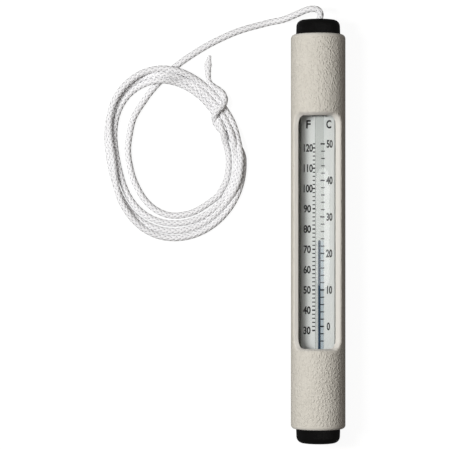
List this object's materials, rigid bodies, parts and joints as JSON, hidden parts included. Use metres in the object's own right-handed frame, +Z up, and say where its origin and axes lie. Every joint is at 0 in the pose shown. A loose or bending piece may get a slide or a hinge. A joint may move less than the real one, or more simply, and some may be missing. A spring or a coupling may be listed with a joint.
{
  "type": "floating pool thermometer",
  "caption": "Slim tube thermometer for pool water: a glass tube with a paper-thin scale in a slotted plastic sleeve with rubber end caps and a braided tether cord.",
  "frame": {"origin": "on the surface the thermometer lies on, under the middle of its sleeve", "axes": "+Y along the sleeve to the cord end, +Z up through the middle of the window"},
  "size_m": [0.1132, 0.2036, 0.0254],
  "materials": {
    "sleeve_plastic": "moulded plastic with a fine leather grain",
    "cap_rubber": "moulded rubber, satin",
    "ballast_metal": "plated, dull",
    "clear_glass": "drawn glass, clear and polished",
    "stopper_plastic": "moulded",
    "scale_card": "printed white sheet",
    "blue_spirit": "dyed liquid",
    "clip_steel": "bright spring strip",
    "ring_rubber": "soft moulded ring",
    "cushion_foam": "soft open foam",
    "cord_braid": "braided white cord"
  },
  "bodies": {
    "housing": {"sleeve": "sleeve_plastic", "glass_envelope": "clear_glass", "envelope_stopper": "stopper_plastic", "scale_card": "scale_card", "stem_glass": "clear_glass", "spirit_reservoir": "blue_spirit", "spirit_column": "blue_spirit", "stem_clip_upper": "clip_steel", "stem_clip_lower": "clip_steel", "seat_ring_upper": "ring_rubber", "seat_ring_lower": "ring_rubber", "bulb_cushion": "cushion_foam"},
    "spirit_top": {"spirit_meniscus": "blue_spirit"},
    "cord_end_cap": {"top_cap": "cap_rubber", "cord_stop_knot": "cord_braid", "cord_lead": "cord_braid", "cord_coil": "cord_braid", "cord_hitch": "cord_braid", "cord_tail": "cord_braid"},
    "weighted_cap": {"bottom_cap": "cap_rubber", "ballast_slug": "ballast_metal"}
  },
  "joints": [
    {"name": "spirit_rise", "type": "slide", "parent": "housing", "child": "spirit_top", "axis": [0, 1, 0], "range_m": [-0.0421, 0.0449], "deforming": ["spirit_column"]},
    {"name": "top_cap_pull", "type": "slide", "parent": "housing", "child": "cord_end_cap", "axis": [0, 1, 0], "range_m": [0, 0.0145]},
    {"name": "bottom_cap_pull", "type": "slide", "parent": "housing", "child": "weighted_cap", "axis": [0, -1, 0], "range_m": [0, 0.0145]}
  ]
}
